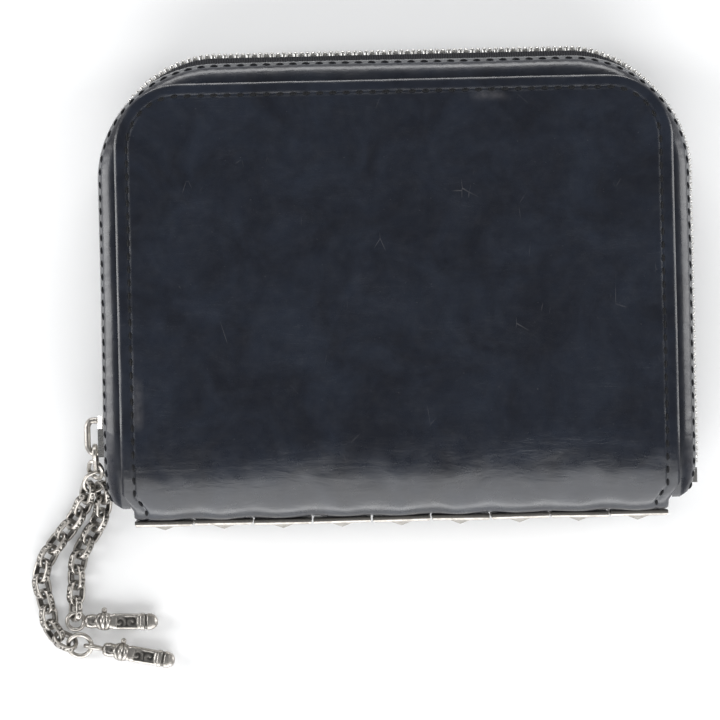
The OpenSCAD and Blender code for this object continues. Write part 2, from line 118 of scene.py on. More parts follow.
def add_mesh(name, verts, faces, material, wear_and_painted_light=None, smooth=True, closed=False):
    """A mesh object from points in millimetres. It keeps its rest place and a per-point mark for its
    material: marks of rubbing and oxide in recesses, and also painted highlights, reflection and shade where
    they are given.
    """
    verts = np.asarray(verts, float)
    mesh = bpy.data.meshes.new(name)
    mesh.from_pydata((verts * MM).tolist(), [], faces)
    if closed:
        shell = bmesh.new()
        shell.from_mesh(mesh)
        bmesh.ops.recalc_face_normals(shell, faces=shell.faces)
        shell.to_mesh(mesh)
        shell.free()
    rest = mesh.attributes.new("rest", "FLOAT_VECTOR", "POINT")
    rest.data.foreach_set("vector", verts.astype(np.float32).ravel())
    mark = mesh.attributes.new("wear_and_painted_light", "FLOAT", "POINT")
    values = np.zeros(len(verts)) if wear_and_painted_light is None else np.asarray(wear_and_painted_light, float)
    mark.data.foreach_set("value", values.astype(np.float32).ravel())
    mesh.polygons.foreach_set("use_smooth", [smooth] * len(mesh.polygons))
    mesh.materials.append(material)
    piece = bpy.data.objects.new(name, mesh)
    bpy.context.scene.collection.objects.link(piece)
    return piece


def grid_faces(rows, cols, wrap_rows=False, wrap_cols=False, flip=False):
    """Quads of a grid of points. wrap joins the last row or column to the first."""
    faces = []
    for i in range(rows if wrap_rows else rows - 1):
        below = (i + 1) % rows
        for j in range(cols if wrap_cols else cols - 1):
            beside = (j + 1) % cols
            face = (i * cols + j, i * cols + beside, below * cols + beside, below * cols + j)
            faces.append(face[::-1] if flip else face)
    return faces


def thicken(piece, thickness, edge=0.3):
    """Gives a sheet its thickness, inwards from its face, and rounds its cut edge."""
    solid = piece.modifiers.new("thickness", "SOLIDIFY")
    solid.thickness = thickness * MM
    solid.offset = -1
    if edge:
        soften(piece, edge)
    return piece


def soften(piece, width, segments=3):
    """Rounds the sharp edges of a piece."""
    bevel = piece.modifiers.new("edge", "BEVEL")
    bevel.width = width * MM
    bevel.segments = segments
    bevel.limit_method = "ANGLE"
    bevel.angle_limit = math.radians(40)
    return piece


def ripple(x, y, size, seed):
    """Smooth unevenness between about -1 and 1, with waves about size long."""
    k = 2 * math.pi / size
    return (
        np.sin(k * (0.93 * x + 0.21 * y) + seed)
        * np.sin(k * (0.83 * y - 0.17 * x) + 1.7 * seed)
        + 0.5 * np.sin(k * (1.71 * x - 1.3 * y) + 2.3 * seed)
    ) / 1.5


def smooth_step(value, low, high):
    t = np.clip((value - low) / (high - low), 0, 1)
    return t * t * (3 - 2 * t)


def stamp(verts, faces, places):
    """Copies one shape to many places. A place is a 3x3 turn and a shift."""
    verts = np.asarray(verts, float)
    all_verts, all_faces = [], []
    for turn, shift in places:
        first = len(all_verts) * len(verts)
        all_verts.append(verts @ np.asarray(turn).T + shift)
        all_faces += [tuple(first + v for v in face) for face in faces]
    return np.concatenate(all_verts), all_faces


def loft(sections, wrap=False):
    """Closed skin over rings of points, with a cap on each end unless it wraps."""
    rows, cols = len(sections), len(sections[0])
    verts = np.concatenate(sections)
    faces = grid_faces(rows, cols, wrap_rows=wrap, wrap_cols=True)
    if not wrap:
        faces.append(tuple(range(cols - 1, -1, -1)))
        faces.append(tuple((rows - 1) * cols + j for j in range(cols)))
    return verts, faces


def ring_points(half_y, half_z, power=2.0, count=24):
    """A rounded ring in Y and Z. A higher power is squarer."""
    a = np.arange(count) * 2 * math.pi / count
    c, s = np.cos(a), np.sin(a)
    r = (np.abs(c) ** power + np.abs(s) ** power) ** (-1 / power)
    return np.stack([np.zeros(count), half_y * r * c, half_z * r * s], axis=1)


def turn_x(degrees):
    c, s = math.cos(math.radians(degrees)), math.sin(math.radians(degrees))
    return np.array([[1, 0, 0], [0, c, -s], [0, s, c]])


def turn_z(degrees):
    c, s = math.cos(math.radians(degrees)), math.sin(math.radians(degrees))
    return np.array([[c, -s, 0], [s, c, 0], [0, 0, 1]])


def turn_to(tangent, normal):
    """Turn whose X is the tangent and whose Z is close to the normal."""
    x = tangent / np.linalg.norm(tangent)
    y = np.cross(normal, x)
    y = y / np.linalg.norm(y)
    return np.stack([x, y, np.cross(x, y)], axis=1)


# ---- materials ----


class Nodes:
    """Short calls for building one material's nodes."""

    def __init__(self, name, own_mesh=True):
        self.material = bpy.data.materials.new(name)
        self.material.use_nodes = True
        self.tree = self.material.node_tree
        self.shader = self.tree.nodes["Principled BSDF"]
        if own_mesh:
            self.place = self.attribute("rest", "Vector")
        else:
            source = self.tree.nodes.new("ShaderNodeTexCoord")
            grow = self.tree.nodes.new("ShaderNodeVectorMath")
            grow.operation = "SCALE"
            grow.inputs["Scale"].default_value = 1 / MM
            self.link(source.outputs["Object"], grow.inputs[0])
            self.place = grow.outputs[0]

    def link(self, source, target):
        self.tree.links.new(source, target)

    def attribute(self, name, output):
        node = self.tree.nodes.new("ShaderNodeAttribute")
        node.attribute_name = name
        return node.outputs[output]

    def stretched(self, scale, turn=0.0):
        """The place, scaled apart in X, Y and Z and turned about Z."""
        node = self.tree.nodes.new("ShaderNodeMapping")
        node.inputs["Scale"].default_value = scale
        node.inputs["Rotation"].default_value = (0, 0, math.radians(turn))
        self.link(self.place, node.inputs["Vector"])
        return node.outputs[0]

    def noise(self, scale, detail=4.0, rough=0.5, distort=0.0, place=None):
        node = self.tree.nodes.new("ShaderNodeTexNoise")
        node.inputs["Scale"].default_value = scale
        node.inputs["Detail"].default_value = detail
        node.inputs["Roughness"].default_value = rough
        node.inputs["Distortion"].default_value = distort
        self.link(place or self.place, node.inputs["Vector"])
        return node.outputs["Fac"]

    def cells(self, scale, feature="F1", place=None):
        node = self.tree.nodes.new("ShaderNodeTexVoronoi")
        node.feature = feature
        node.inputs["Scale"].default_value = scale
        self.link(place or self.place, node.inputs["Vector"])
        return node.outputs["Distance"]

    def wave(self, scale, place=None):
        node = self.tree.nodes.new("ShaderNodeTexWave")
        node.inputs["Scale"].default_value = scale
        self.link(place or self.place, node.inputs["Vector"])
        return node.outputs["Fac"]

    def ramp(self, value, *stops):
        """Value through a ramp of (position, grey or colour) stops."""
        node = self.tree.nodes.new("ShaderNodeValToRGB")
        points = node.color_ramp.elements
        while len(points) < len(stops):
            points.new(0.5)
        for point, (position, tone) in zip(points, stops):
            tone = tone if isinstance(tone, tuple) else (tone, tone, tone)
            point.position = position
            point.color = (*tone, 1)
        self.link(value, node.inputs["Fac"])
        return node.outputs["Color"]

    def math(self, operation, a, b=0.0, clamp=False):
        node = self.tree.nodes.new("ShaderNodeMath")
        node.operation = operation
        node.use_clamp = clamp
        for socket, value in zip(node.inputs, (a, b)):
            if isinstance(value, (int, float)):
                socket.default_value = value
            else:
                self.link(value, socket)
        return node.outputs[0]

    def mix(self, factor, a, b):
        node = self.tree.nodes.new("ShaderNodeMix")
        node.data_type = "RGBA"
        for socket, value in ((node.inputs[0], factor), (node.inputs[6], a), (node.inputs[7], b)):
            if isinstance(value, (int, float)):
                socket.default_value = value
            elif isinstance(value, tuple):
                socket.default_value = (*value, 1)
            else:
                self.link(value, socket)
        return node.outputs[2]

    def bump(self, height, distance, strength=1.0, under=None):
        node = self.tree.nodes.new("ShaderNodeBump")
        node.inputs["Distance"].default_value = distance * MM
        node.inputs["Strength"].default_value = strength
        self.link(height, node.inputs["Height"])
        if under is not None:
            self.link(under, node.inputs["Normal"])
        return node.outputs[0]

    def finish(self, colour=None, rough=None, normal=None, **constants):
        for source, name in ((colour, "Base Color"), (rough, "Roughness"), (normal, "Normal")):
            if source is not None:
                self.link(source, self.shader.inputs[name])
        for name, value in constants.items():
            self.shader.inputs[name.replace("_", " ")].default_value = value
        return self.material


def glazed_leather(name, dark, light, crease_highlight_tone, worn_and_highlight_tone):
    """Glazed hide with long fine creases painted a little lighter as highlights, mottling, scuffs, and edges
    lightened by rubbing whose lighter tone also stands for painted highlights and reflection.
    """
    n = Nodes(name)
    mottle = n.noise(0.09, 6, 0.62, 0.6)
    colour = n.mix(n.ramp(mottle, (0.36, 0.0), (0.68, 1.0)), dark, light)
    lines = []
    for size, turn, bias in ((0.13, 3, 0.5), (0.2, -6, 0.46), (0.3, 9, 0.53)):
        place = n.stretched((0.3, 1.3, 1.3), turn)
        field = n.noise(size, 2.5, 0.5, 0.9, place)
        away = n.math("ABSOLUTE", n.math("SUBTRACT", field, bias))
        lines.append(n.ramp(away, (0.0, 1.0), (0.022, 0.0)))
    patchy = n.ramp(n.noise(0.09, 3), (0.48, 0.0), (0.72, 0.8))
    line = n.math("MAXIMUM", n.math("MAXIMUM", lines[0], lines[1]), lines[2])
    line = n.math("MULTIPLY", line, patchy)
    # Painted highlight: the crease lines are mixed a little towards a lighter tone, as if they caught the
    # light.
    colour = n.mix(n.math("MULTIPLY", line, 0.05), colour, crease_highlight_tone)
    from_cell = n.cells(0.22, "DISTANCE_TO_EDGE", n.stretched((1, 0.35, 1), 35))
    scratch = n.ramp(from_cell, (0.0, 1.0), (0.012, 0.0))
    rare = n.ramp(n.noise(0.13, 2, 0.5), (0.66, 0.0), (0.74, 1.0))
    speck = n.ramp(n.noise(2.1, 2, 0.5), (0.74, 0.0), (0.79, 1.0))
    scuff = n.math("MAXIMUM", n.math("MULTIPLY", scratch, rare), n.math("MULTIPLY", speck, 0.5))
    colour = n.mix(n.math("MULTIPLY", scuff, 0.3), colour, worn_and_highlight_tone)
    # Lighter by the mesh's per-point mark: partly rubbed wear, and partly painted highlights and reflection
    # on the edges, the band bulges and the roll by the spine.
    wear_and_painted_light = n.attribute("wear_and_painted_light", "Fac")
    rubbed_and_painted_light = n.math("MULTIPLY", wear_and_painted_light, n.ramp(n.noise(0.8, 5, 0.65), (0.3, 0.35), (0.7, 1.0)), clamp=True)
    colour = n.mix(rubbed_and_painted_light, colour, worn_and_highlight_tone)
    rough = n.ramp(n.noise(0.35, 5, 0.6), (0.3, 0.24), (0.75, 0.38))
    rough = n.math("ADD", rough, n.math("MULTIPLY", scuff, 0.1))
    broad = n.bump(n.noise(0.045, 2, 0.4, 0.3), 2.2, 0.6)
    dents = n.bump(n.noise(0.2, 4, 0.55, 0.5, n.stretched((0.4, 1.3, 1.3), 4)), 0.28, 0.5, broad)
    grain = n.bump(n.cells(2.6), 0.012, 0.5, dents)
    folds = n.bump(n.math("SUBTRACT", 1.0, line), 0.028, 0.5, grain)
    return n.finish(colour, rough, folds, Coat_Weight=0.3, Coat_Roughness=0.16, Specular_IOR_Level=0.5)


def plain_leather(name, dark, light):
    """Softer inside leather with a fine pebble grain."""
    n = Nodes(name)
    colour = n.mix(n.ramp(n.noise(0.2, 5, 0.6), (0.35, 0.0), (0.7, 1.0)), dark, light)
    wear_and_painted_light = n.attribute("wear_and_painted_light", "Fac")
    colour = n.mix(n.math("MULTIPLY", wear_and_painted_light, 0.6), colour, (0.07, 0.065, 0.065))
    pebble = n.cells(1.5, "SMOOTH_F1")
    rough = n.ramp(pebble, (0.1, 0.62), (0.7, 0.42))
    normal = n.bump(pebble, 0.12, 0.6, n.bump(n.noise(0.2, 3), 0.5, 0.4))
    return n.finish(colour, rough, normal, Specular_IOR_Level=0.4)


def woven(name, dark, light, across, pitch, own_mesh=True):
    """Woven tape or thread, ribbed across the given direction."""
    n = Nodes(name, own_mesh)
    rib = n.wave(math.pi / pitch / 10, n.stretched(across))
    fuzz = n.noise(3.5, 4, 0.7)
    colour = n.mix(n.math("MULTIPLY", rib, n.ramp(fuzz, (0.3, 0.5), (0.7, 1.0))), dark, light)
    rough = n.ramp(fuzz, (0.3, 0.7), (0.7, 0.92))
    normal = n.bump(rib, 0.12, 0.8, n.bump(fuzz, 0.04, 0.6))
    return n.finish(colour, rough, normal, Sheen_Weight=0.08, Specular_IOR_Level=0.2)


def silver(name, bright, dark, own_mesh=True, tarnish=0.5, smooth=0.24):
    """Oxidised silver: dark in its recesses and bright where use has polished it. On the plates it is also
    painted dark on their sides as shade.
    """
    n = Nodes(name, own_mesh)
    cloud = n.noise(0.75, 6, 0.65, 0.4)
    stain = n.ramp(cloud, (0.42, 0.0), (0.66, tarnish))
    colour = n.mix(stain, bright, dark)
    # Darkened by the mesh's per-point mark: oxide in recesses, and on the plates painted shade on their
    # sides.
    if own_mesh:
        colour = n.mix(n.attribute("wear_and_painted_light", "Fac"), colour, (0.016, 0.015, 0.014))
    fine = n.noise(3.2, 5, 0.7, 0.2, n.stretched((1, 4, 1), 20))
    rough = n.math("ADD", n.ramp(fine, (0.3, smooth), (0.75, smooth + 0.16)), n.math("MULTIPLY", stain, 0.25))
    pits = n.ramp(n.noise(2.4, 4, 0.6), (0.62, 1.0), (0.72, 0.0))
    normal = n.bump(pits, 0.03, 0.5, n.bump(fine, 0.02, 0.5, n.bump(cloud, 0.12, 0.35)))
    return n.finish(colour, rough, normal, Metallic=1.0)


def floor_material():
    n = Nodes("studio_floor", own_mesh=False)
    colour = n.mix(n.noise(0.02, 3), (0.93, 0.935, 0.94), (0.95, 0.95, 0.95))
    return n.finish(colour, Roughness=0.75, Specular_IOR_Level=0.2)


NAVY = glazed_leather(
    "navy_leather",
    dark=(0.0035, 0.0048, 0.0095),
    light=(0.009, 0.0125, 0.0215),
    # The crease tone is a painted highlight; the worn tone serves scuffs and rubbed wear, and also painted
    # highlights and reflection.
    crease_highlight_tone=(0.035, 0.05, 0.06),
    worn_and_highlight_tone=(0.15, 0.145, 0.15),
)
INSIDE = plain_leather("inside_leather", (0.008, 0.009, 0.012), (0.022, 0.024, 0.03))
TAPE = woven("zip_tape", (0.006, 0.006, 0.008), (0.03, 0.031, 0.036), (1, 1, 1), 0.5)
THREAD = woven("thread", (0.002, 0.0022, 0.003), (0.01, 0.011, 0.014), (1, 1, 0.2), 0.3)
SILVER = silver("oxidised_silver", (0.5, 0.475, 0.44), (0.16, 0.145, 0.13))
SILVER_CAD = silver("oxidised_silver_small", (0.48, 0.455, 0.42), (0.14, 0.13, 0.115), own_mesh=False)
ZIP_METAL = silver("zip_metal", (0.62, 0.61, 0.59), (0.25, 0.24, 0.22), tarnish=0.35, smooth=0.2)
ZIP_METAL_CAD = silver("zip_metal_small", (0.55, 0.54, 0.52), (0.22, 0.21, 0.2), False, 0.35, 0.2)
LINING = woven("lining_cloth", (0.01, 0.01, 0.012), (0.035, 0.036, 0.042), (1, 1, 1), 0.35)
BOARD = woven("spine_board", (0.03, 0.027, 0.024), (0.07, 0.062, 0.055), (1, 1, 1), 0.8, own_mesh=False)


# ---- the leather case: front and back cover, each one hide with half of the spine ----


def case_curve():
    """Length, Y and Z along the outside, from the far edge to the middle of the spine."""
    a = np.linspace(math.pi / 2, 0, 60)
    roll_y = FOLD_Y + ROLL_EARLY
    roll_h = (BODY_T - PLATE_H) / 2
    y = [COVER_FAR, *(roll_y - (roll_y - SPINE_Y) * np.cos(a)), SPINE_Y]
    z = [BODY_T, *(BODY_T - roll_h + roll_h * np.sin(a)), MID_Z]
    y, z = np.array(y), np.array(z)
    length = np.concatenate([[0], np.cumsum(np.hypot(np.diff(y), np.diff(z)))])
    return length, y, z


CASE_S, CASE_Y, CASE_Z = case_curve()
CASE_L = CASE_S[-1]
ROLL_END_S = CASE_S[-2]


def case_half_width(s):
    """Half the width of the hide at distance s from its far edge."""
    d = np.clip(s, 0, COVER_R)
    far = COVER_W - COVER_R + np.sqrt(np.maximum(COVER_R**2 - (COVER_R - d) ** 2, 0))
    y = np.interp(s, CASE_S, CASE_Y)
    near = COVER_W - np.clip(BEVEL_Y - 1.5 - y, 0, None) * 0.63
    return np.minimum(far, np.maximum(near, PLATES_W))


def case_edge(x, s):
    """Distance from the cut edge of the hide."""
    over_x, over_s = np.abs(x) - (COVER_W - COVER_R), COVER_R - s
    in_corner = (over_x > 0) & (over_s > 0)
    straight = np.minimum(case_half_width(s) - np.abs(x), s)
    return np.where(in_corner, COVER_R - np.hypot(over_x, over_s), straight)


def on_case(x, s, seed):
    """Points and outward directions on the front half of the case."""
    y, z = np.interp(s, CASE_S, CASE_Y), np.interp(s, CASE_S, CASE_Z)
    step = 0.6
    ahead, behind = np.clip(s + step, 0, CASE_L), np.clip(s - step, 0, CASE_L)
    dy = np.interp(ahead, CASE_S, CASE_Y) - np.interp(behind, CASE_S, CASE_Y)
    dz = np.interp(ahead, CASE_S, CASE_Z) - np.interp(behind, CASE_S, CASE_Z)
    size = np.hypot(dy, dz)
    out = np.stack([np.zeros_like(y), dz / size, -dy / size], axis=-1)
    e = case_edge(x, s)
    height = -0.2 * np.exp(-(((e - STITCH_INSET) / 0.4) ** 2))
    height = height - 0.3 * np.exp(-np.maximum(e, 0) / 0.4)
    height = height + 0.1 * ripple(x, s, 31, seed) + 0.035 * ripple(x, s, 9, seed + 2)
    near_spine = smooth_step(s, ROLL_END_S - 9, ROLL_END_S)
    gathered = np.cos(2 * math.pi * x / (2 * PLATES_W / PLATE_COUNT)) - 1
    height = height + 0.14 * near_spine * gathered
    return np.stack([x, y, z], axis=-1) + out * height[..., None], out


def to_back(points):
    """Mirrors points of the front half into the back half."""
    points = points.copy()
    points[..., 2] = BODY_T - points[..., 2]
    return points


def steps(*runs):
    """Positions through runs of (end, step), from 0."""
    values = [0.0]
    for end, step in runs:
        count = max(1, round((end - values[-1]) / step))
        values += list(np.linspace(values[-1], end, count + 1)[1:])
    return np.array(values)


def case_blend(piece, back):
    """Bakes the hide's place into its mesh, the same for the front and the back."""
    if back:
        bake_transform(piece)
    else:
        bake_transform(piece)


def case_leather(name, back, seed):
    from_edge = steps((4, 0.25), (COVER_W, 1.1))
    across = np.concatenate([-COVER_W + from_edge, (COVER_W - from_edge)[-2::-1]]) / COVER_W
    s = steps((4, 0.25), (COVER_R, 0.5), (COVER_FAR - FOLD_Y, 1.0), (CASE_L, 0.5))
    s_grid = np.repeat(s[:, None], len(across), axis=1)
    x_grid = case_half_width(s)[:, None] * across[None, :]
    points, _ = on_case(x_grid, s_grid, seed)
    e = case_edge(x_grid, s_grid)
    # Lighter marks, partly wear and partly painted light: rubbed wear and a painted highlight along the cut
    # edge, a patchy rubbed band inside the stitch row that also paints its highlight, and a painted
    # reflection of the bright floor on the last 2.5 mm of the roll by the spine.
    wear_and_painted_light = 0.4 * (1 - smooth_step(e, 0.05, 0.35))
    rubbed_and_painted_light = np.exp(-(((e - 3.6) / 0.8) ** 2)) * smooth_step(ripple(x_grid, s_grid, 40, 4.4), 0.55, 0.8)
    wear_and_painted_light = wear_and_painted_light + 0.3 * rubbed_and_painted_light + 0.2 * smooth_step(s_grid, ROLL_END_S - 2.5, ROLL_END_S)
    if back:
        points = to_back(points)
    faces = grid_faces(*s_grid.shape, flip=not back)
    piece = add_mesh(name, points.reshape(-1, 3), faces, NAVY, wear_and_painted_light.ravel())
    thicken(piece, COVER_T - 0.1, 0.25)
    case_blend(piece, back)
    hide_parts(*(["back_cover", "spine_leather"] if back else ["front_cover"]))
    return piece


# ---- stitching ----


def stitch_shape(length, radius):
    """One stitch: a short twisted thread that dips into the hide at both ends."""
    sections = []
    for t in np.linspace(-1, 1, 9):
        r = radius * (1 - 0.75 * abs(t) ** 3)
        ring = ring_points(r, r * 0.85, count=8)
        ring[:, 0] = t * length / 2
        ring[:, 2] += radius * (0.35 - 0.8 * t * t)
        sections.append(ring)
    return loft(sections)


def stitches(name, points, normals, pitch=STITCH_PITCH, length=1.75, radius=0.3):
    """A row of stitches along a line of points."""
    run = np.concatenate([[0], np.cumsum(np.linalg.norm(np.diff(points, axis=0), axis=1))])
    count = int(run[-1] / pitch)
    places = []
    for i in range(count):
        s = (i + 0.5) * run[-1] / count
        ahead, behind = s + 0.3, s - 0.3
        line = [np.array([np.interp(p, run, points[:, k]) for k in range(3)]) for p in (behind, s, ahead)]
        normal = np.array([np.interp(s, run, normals[:, k]) for k in range(3)])
        slant = random.uniform(0.02, 0.12)
        tangent = line[2] - line[0]
        tangent = tangent + slant * np.cross(normal, tangent)
        places.append((turn_to(tangent, normal), line[1]))
    verts, faces = stamp(*stitch_shape(length, radius), places)
    piece = add_mesh(name, verts, faces, THREAD, closed=True)
    return piece


def case_stitches(name, back, seed):
    """The row round the cover, from one end of the roll over the far edge to the other."""
    r = COVER_R - STITCH_INSET
    side_s = np.arange(ROLL_END_S - 1.5, COVER_R, -0.5)
    side_x = case_half_width(side_s) - STITCH_INSET
    arc = np.linspace(0, math.pi / 2, 20)
    arc_x, arc_s = COVER_W - COVER_R + r * np.cos(arc), COVER_R - r * np.sin(arc)
    far_x = np.arange(COVER_W - COVER_R - 0.5, 0, -0.5)
    x = np.concatenate([side_x, arc_x, far_x])
    s = np.concatenate([side_s, arc_s, np.full(len(far_x), STITCH_INSET)])
    x, s = np.concatenate([x, -x[::-1]]), np.concatenate([s, s[::-1]])
    points, normals = on_case(x, s, seed)
    if back:
        points, normals = to_back(points), normals * np.array([1, 1, -1])
    piece = stitches(name, points, normals)
    case_blend(piece, back)
    return piece


# ---- side bands ----

BAND_STITCH_T = 0.48


BAND_END_Y = BEVEL_Y - 2
PATH_STEP = 0.8


def zip_path(step=PATH_STEP, low_left=BAND_END_Y, low_right=BAND_END_Y):
    """Points and outward directions along the zip edge, left, far side and right."""
    points, outs = [], []
    for y in steps((CORNER_Y - low_left, step)) + low_left:
        points.append((-HALF_W, y))
        outs.append((-1, 0))
    for side in (-1, 1):
        turns = steps((math.pi / 2, step / CORNER_R))[1:]
        if side == 1:
            for x in steps((2 * CORNER_X, step))[1:-1] - CORNER_X:
                points.append((x, FAR_Y))
                outs.append((0, 1))
            turns = turns[::-1]
            turns = np.append(turns, 0.0)
        for a in turns:
            out = (side * math.cos(a), math.sin(a))
            points.append((side * CORNER_X + CORNER_R * out[0], CORNER_Y + CORNER_R * out[1]))
            outs.append(out)
    for y in (steps((CORNER_Y - low_right, step))[:-1] + low_right)[::-1]:
        points.append((HALF_W, y))
        outs.append((1, 0))
    return np.array(points, float), np.array(outs, float)


def end_pull(place, out):
    """How far the zip edge draws in, in a rounded corner, as it nears the spine."""
    share = np.clip(1 - (place[1] - BAND_END_Y) / 6.5, 0, 1) * abs(out[0])
    return 3 * (1 - math.sqrt(1 - share * share))


def band_section(place, out, t):
    """How far out and how high the front band stands at t, from its cover to its zip edge."""
    left, far = max(-out[0], 0.0), max(out[1], 0.0)
    inset = COVER_W - HALF_W - 1.2 * far * far
    belly = 1.0 + 0.1 * left**2 - 0.35 * far**2
    edge = -0.35 + 0.2 * out[0]**2 - 0.4 * far**2
    belly, edge = belly - 0.5 * end_pull(place, out), edge - end_pull(place, out)
    cover_z = np.interp(-place[1] + 2.3, -CASE_Y[:-1], CASE_Z[:-1])
    top_z = cover_z - COVER_T - 0.05
    a, b, c = (1 - t) ** 2, 2 * t * (1 - t), t * t
    return a * inset + b * belly + c * edge, a * top_z + b * (top_z - 0.3) + c * BAND_EDGE_Z


def band_surface(points, outs, t):
    """Points on the front band for each path point at each t, ending on the bevel by the spine."""
    rows = []
    run = np.arange(len(points))
    for k, (p, out) in enumerate(zip(points, outs)):
        u, z = band_section(p, out, t)
        along = np.sin(run[k] * PATH_STEP * 2 * math.pi / STITCH_PITCH)
        pucker = 0.05 * along * np.exp(-(((t - 0.45) / 0.25) ** 2))
        groove = -0.14 * np.exp(-(((t - BAND_STITCH_T) / 0.04) ** 2))
        swell = 0.06 * math.sin(run[k] * 0.093) + 0.04 * math.sin(run[k] * 0.041 + 1)
        rim = -0.15 * smooth_step(t, BAND_STITCH_T, BAND_STITCH_T + 0.05)
        u = u + pucker + groove + rim + swell * np.sin(math.pi * t)
        x, y = p[0] + out[0] * u, p[1] + out[1] * u
        towards_bevel = smooth_step(CORNER_Y - p[1], 0, CORNER_Y - BEVEL_Y) * abs(out[0])
        y = y + BEVEL_SLOPE * np.minimum(u, 0) * towards_bevel
        rows.append(np.stack([x, y, np.broadcast_to(z, x.shape)], axis=1))
    return np.array(rows)


def side_band(name, back, body):
    points, outs = zip_path()
    t = [[-0.02], np.linspace(0, 0.42, 10), np.linspace(0.44, 0.52, 5), np.linspace(0.55, 1, 12)]
    t = np.concatenate(t)
    surface = band_surface(points, outs, np.clip(t, 0, 1))
    surface[:, 0, :2] -= outs * 1.5
    surface = surface if not back else to_back(surface)
    # Painted highlights: a lighter streak along the band's bulge and a light line along its zip edge.
    wear_and_painted_light = 0.3 * np.exp(-(((t - 0.3) / 0.12) ** 2)) + 0.5 * smooth_step(t, 0.95, 1.0)
    wear_and_painted_light = np.broadcast_to(wear_and_painted_light, surface.shape[:2])
    faces = grid_faces(*surface.shape[:2], flip=not back)
    piece = add_mesh(name, surface.reshape(-1, 3), faces, NAVY, wear_and_painted_light.ravel())
    thicken(piece, 1.0, 0.25)
    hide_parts("back_side_band" if back else "front_side_band")
    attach(piece, body)


def band_stitches(name, back, body):
    points, outs = zip_path()
    line = band_surface(points, outs, np.array([BAND_STITCH_T]))[:, 0]
    normals = np.concatenate([outs, np.full((len(outs), 1), 0.9)], axis=1)
    if back:
        line, normals = to_back(line), normals * np.array([1, 1, -1])
    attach(stitches(name, line, normals), body)


# ---- zip ----

TOOTH_PITCH = 2.4
TAPE_OUT = -0.85


def tooth_out(place, out):
    """How far out the middle of a tooth stands. The far and right side's teeth stand prouder."""
    return TAPE_OUT + 1.6 * max(out[1], 0.0) ** 5 + 0.6 * max(out[0], 0.0) ** 5 - end_pull(place, out)


def zip_tape(name, back, body):
    points, outs = zip_path(low_left=BEVEL_Y + 1, low_right=BEVEL_Y + 1)
    rows = []
    for p, out in zip(points, outs):
        edge = tooth_out(p, out)
        u = np.array([-2.6, -1.9, -1.5, -1.3, edge - 0.15, edge, edge, edge])
        z = np.array([21.5, 20, 18.6, 17.6, 16.6, 15.8, 14.8, 13.9])
        rows.append(np.stack([p[0] + out[0] * u, p[1] + out[1] * u, z], axis=1))
    surface = np.array(rows)
    surface = surface if not back else to_back(surface)
    faces = grid_faces(*surface.shape[:2], flip=not back)
    piece = add_mesh(name, surface.reshape(-1, 3), faces, TAPE)
    thicken(piece, 0.55, 0)
    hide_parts("back_zip_tape" if back else "front_zip_tape")
    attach(piece, body)


def tooth_shape():
    """One cast tooth, with Z along its height from its legs to its head, X outwards."""
    sections = []
    levels = (
        (-2.9, 0.75, 0.3), (-2.75, 0.95, 0.44), (-1.6, 1.05, 0.5), (-0.7, 1.08, 0.5), (-0.35, 0.98, 0.4),
        (0.05, 1.0, 0.42), (0.45, 1.12, 0.52), (0.72, 1.05, 0.46), (0.88, 0.8, 0.28),
    )
    for z, half_out, half_wide in levels:
        ring = ring_points(half_out, half_wide, 4.5, 16)
        sections.append(np.stack([ring[:, 1], ring[:, 2], np.full(16, z)], axis=1))
    return loft(sections)


def zip_teeth(name, back, body, offset):
    points, outs = zip_path(0.4, slider_y + 1.0, SPINE_Y + 9.5)
    run = np.concatenate([[0], np.cumsum(np.hypot(*np.diff(points, axis=0).T))])
    places = []
    for s in np.arange(offset, run[-1], TOOTH_PITCH):
        p = np.array([np.interp(s, run, points[:, k]) for k in (0, 1)])
        out = np.array([np.interp(s, run, outs[:, k]) for k in (0, 1)])
        out = out / np.hypot(*out)
        p = p + out * tooth_out(p, out)
        turn = np.array([[out[0], -out[1], 0], [out[1], out[0], 0], [0, 0, -1]])
        places.append((turn, np.array([p[0], p[1], MID_Z])))
    verts, faces = stamp(*tooth_shape(), places)
    if back:
        verts = to_back(verts)
    piece = add_mesh(name, verts, faces, ZIP_METAL, closed=True)
    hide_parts("back_zip_teeth" if back else "front_zip_teeth")
    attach(piece, body)


# ---- spine plates ----


